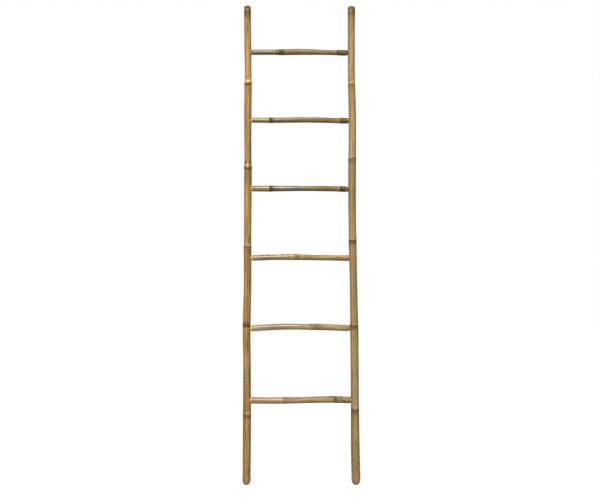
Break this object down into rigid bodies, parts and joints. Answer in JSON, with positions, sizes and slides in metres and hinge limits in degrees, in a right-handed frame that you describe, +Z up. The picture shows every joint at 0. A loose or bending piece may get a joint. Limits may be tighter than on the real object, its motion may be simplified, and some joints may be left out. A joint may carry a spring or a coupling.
{
  "type": "blanket ladder",
  "caption": "Bamboo blanket ladder that leans on a wall: upright cane poles joined by cane rungs, for hanging blankets, throws or towels.",
  "frame": {"origin": "on the floor, midway between the two feet", "axes": "+Z up along the poles, +X from the left pole to the right pole as the picture shows them, -Y towards the front, +Y towards the wall it leans on"},
  "size_m": [0.4697, 0.036, 1.9],
  "materials": {
    "left_pole_bamboo": "golden brown bamboo, satin varnish",
    "right_pole_bamboo": "khaki tan bamboo, satin varnish",
    "rung_bamboo": "tan bamboo, satin varnish",
    "brad_steel": "plain bright nail steel"
  },
  "bodies": {
    "root": {"left_pole": "left_pole_bamboo", "right_pole": "right_pole_bamboo", "rung_1": "rung_bamboo", "rung_2": "rung_bamboo", "rung_3": "rung_bamboo", "rung_4": "rung_bamboo", "rung_5": "rung_bamboo", "rung_6": "rung_bamboo", "brad_1_left": "brad_steel", "brad_1_right": "brad_steel", "brad_2_left": "brad_steel", "brad_2_right": "brad_steel", "brad_3_left": "brad_steel", "brad_3_right": "brad_steel", "brad_4_left": "brad_steel", "brad_4_right": "brad_steel", "brad_5_left": "brad_steel", "brad_5_right": "brad_steel", "brad_6_left": "brad_steel", "brad_6_right": "brad_steel"}
  },
  "joints": []
}
